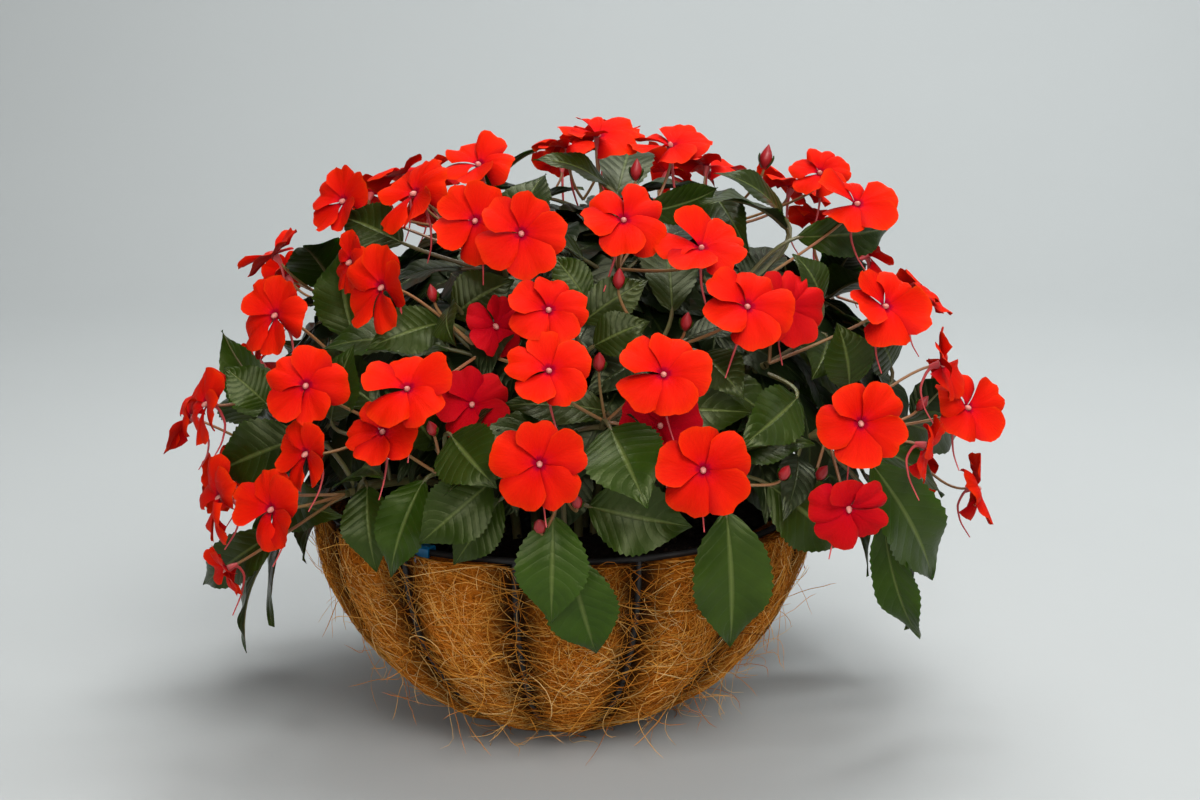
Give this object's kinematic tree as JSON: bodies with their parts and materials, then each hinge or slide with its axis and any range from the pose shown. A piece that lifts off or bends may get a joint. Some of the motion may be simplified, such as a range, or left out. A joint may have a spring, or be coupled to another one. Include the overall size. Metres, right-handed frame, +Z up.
{
  "type": "potted new guinea impatiens",
  "caption": "New Guinea impatiens in full bloom, planted in a round wire basket with a coir liner.",
  "frame": {"origin": "middle of the flat spot under the basket, on the floor", "axes": "+Z up, the side seen in the picture towards -Y, +X to the right as seen from there, along the plant's longer width"},
  "size_m": [0.5844, 0.5232, 0.4362],
  "materials": {
    "wire": "black plastic-coated steel wire",
    "coir": "matted golden-brown coconut fibre",
    "soil": "dark crumbly potting soil",
    "clip": "plain blue plastic",
    "leaf": "dark green, slightly glossy leaves on reddish stems",
    "petal": "satiny orange-red petals"
  },
  "bodies": {
    "root": {"blooms_01": "petal", "blooms_02": "petal", "blooms_03": "petal", "blooms_04": "petal", "blooms_05": "petal", "blooms_06": "petal", "blooms_07": "petal", "blooms_08": "petal", "blooms_09": "petal", "blooms_10": "petal", "blooms_11": "petal", "blooms_12": "petal", "blooms_13": "petal", "blooms_14": "petal", "blooms_15": "petal", "blooms_16": "petal", "blooms_17": "petal", "blooms_18": "petal", "blooms_19": "petal", "blooms_20": "petal", "blooms_21": "petal", "blooms_22": "petal", "blooms_23": "petal", "blooms_24": "petal", "blooms_25": "petal", "blooms_26": "petal", "blooms_27": "petal", "coir_liner": "coir", "leafy_stem_01": "leaf", "leafy_stem_02": "leaf", "leafy_stem_03": "leaf", "leafy_stem_04": "leaf", "leafy_stem_05": "leaf", "leafy_stem_06": "leaf", "leafy_stem_07": "leaf", "leafy_stem_08": "leaf", "leafy_stem_09": "leaf", "leafy_stem_10": "leaf", "leafy_stem_11": "leaf", "leafy_stem_12": "leaf", "leafy_stem_13": "leaf", "leafy_stem_14": "leaf", "leafy_stem_15": "leaf", "leafy_stem_16": "leaf", "leafy_stem_17": "leaf", "leafy_stem_18": "leaf", "leafy_stem_19": "leaf", "leafy_stem_20": "leaf", "leafy_stem_21": "leaf", "leafy_stem_22": "leaf", "leafy_stem_23": "leaf", "leafy_stem_24": "leaf", "leafy_stem_25": "leaf", "leafy_stem_26": "leaf", "leafy_stem_27": "leaf", "rim_clip": "clip", "soil": "soil", "wire_frame": "wire"}
  },
  "joints": []
}
